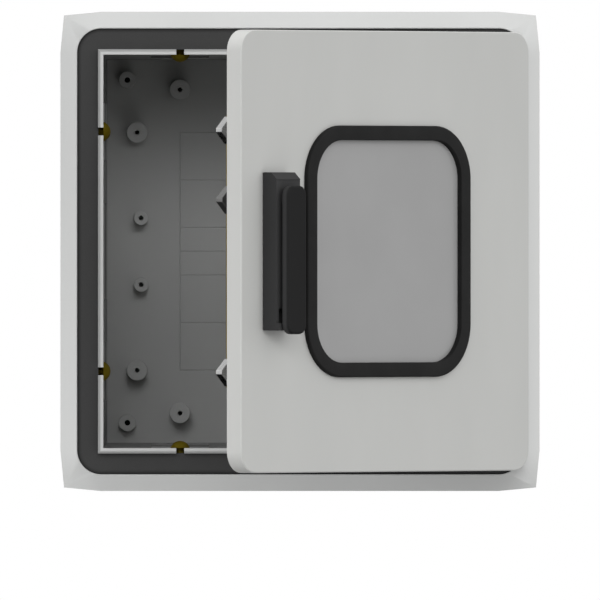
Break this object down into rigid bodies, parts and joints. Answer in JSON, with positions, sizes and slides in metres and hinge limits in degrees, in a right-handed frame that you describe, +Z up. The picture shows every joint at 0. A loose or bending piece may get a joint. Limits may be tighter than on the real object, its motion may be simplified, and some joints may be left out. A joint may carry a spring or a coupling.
{
  "type": "electrical enclosure",
  "caption": "Square wall-hung moulded enclosure with a sloping frame, a sealed tub, and a hinged window door with a swing handle that drives a sliding latch bar.",
  "frame": {"origin": "centre of the four wall-fixing holes on the back face that lies on the wall", "axes": "+Z up the wall, +X to the right seen from the front, +Y into the wall, so the front looks along -Y"},
  "size_m": [0.4, 0.4911, 0.4],
  "materials": {
    "grey_plastic": "fine moulded grain",
    "seal_rubber": "dull foam rubber",
    "black_rubber": "dull extruded rubber",
    "black_plastic": "fine moulded grain",
    "tongue_metal": "cast and tumbled zinc",
    "olive_metal": "yellow passivated zinc",
    "steel": "bright zinc",
    "pane_plastic": "frosted grey pane"
  },
  "bodies": {
    "enclosure": {"base_tub": "grey_plastic", "frame_gasket": "seal_rubber", "anchor_studs": "olive_metal", "hinge_brackets": "steel", "hinge_pins": "steel"},
    "door": {"door_panel": "grey_plastic", "window_seal": "black_rubber", "window_pane": "pane_plastic", "hinge_leaves": "steel", "hinge_leaf_screws": "steel", "handle_base": "black_plastic", "handle_seal": "seal_rubber", "handle_screws": "steel", "spindle_bush": "black_plastic", "bar_guide_screws": "steel"},
    "handle": {"handle_hub": "black_plastic", "spindle": "steel", "cam_tongue": "tongue_metal", "drive_pin": "steel", "cam_screw": "steel", "lever_pin": "steel"},
    "lever": {"lever": "black_plastic"},
    "latch": {"latch_bar": "olive_metal", "upper_tongue": "tongue_metal", "lower_tongue": "tongue_metal", "tongue_rivets": "steel"}
  },
  "joints": [
    {"name": "door_hinge", "type": "hinge", "parent": "enclosure", "child": "door", "pos_m": [0.18115, -0.2093, 0], "axis": [0, 0, 1], "range_deg": [-49, 61]},
    {"name": "handle_turn", "type": "hinge", "parent": "door", "child": "handle", "pos_m": [-0.01111, -0.47055, 0.0424], "axis": [0.7547, -0.6561, 0], "range_deg": [0, 90]},
    {"name": "lever_lift", "type": "hinge", "parent": "handle", "child": "lever", "pos_m": [-0.00733, -0.47383, 0.05], "axis": [-0.6561, -0.7547, 0], "range_deg": [0, 35]},
    {"name": "bar_slide", "type": "slide", "parent": "door", "child": "latch", "axis": [0, 0, 1], "range_m": [0, 0.01556]}
  ],
  "couplings": [
    {"joint": "bar_slide", "follows": "handle_turn", "m_per_rad": 0.0099035}
  ]
}
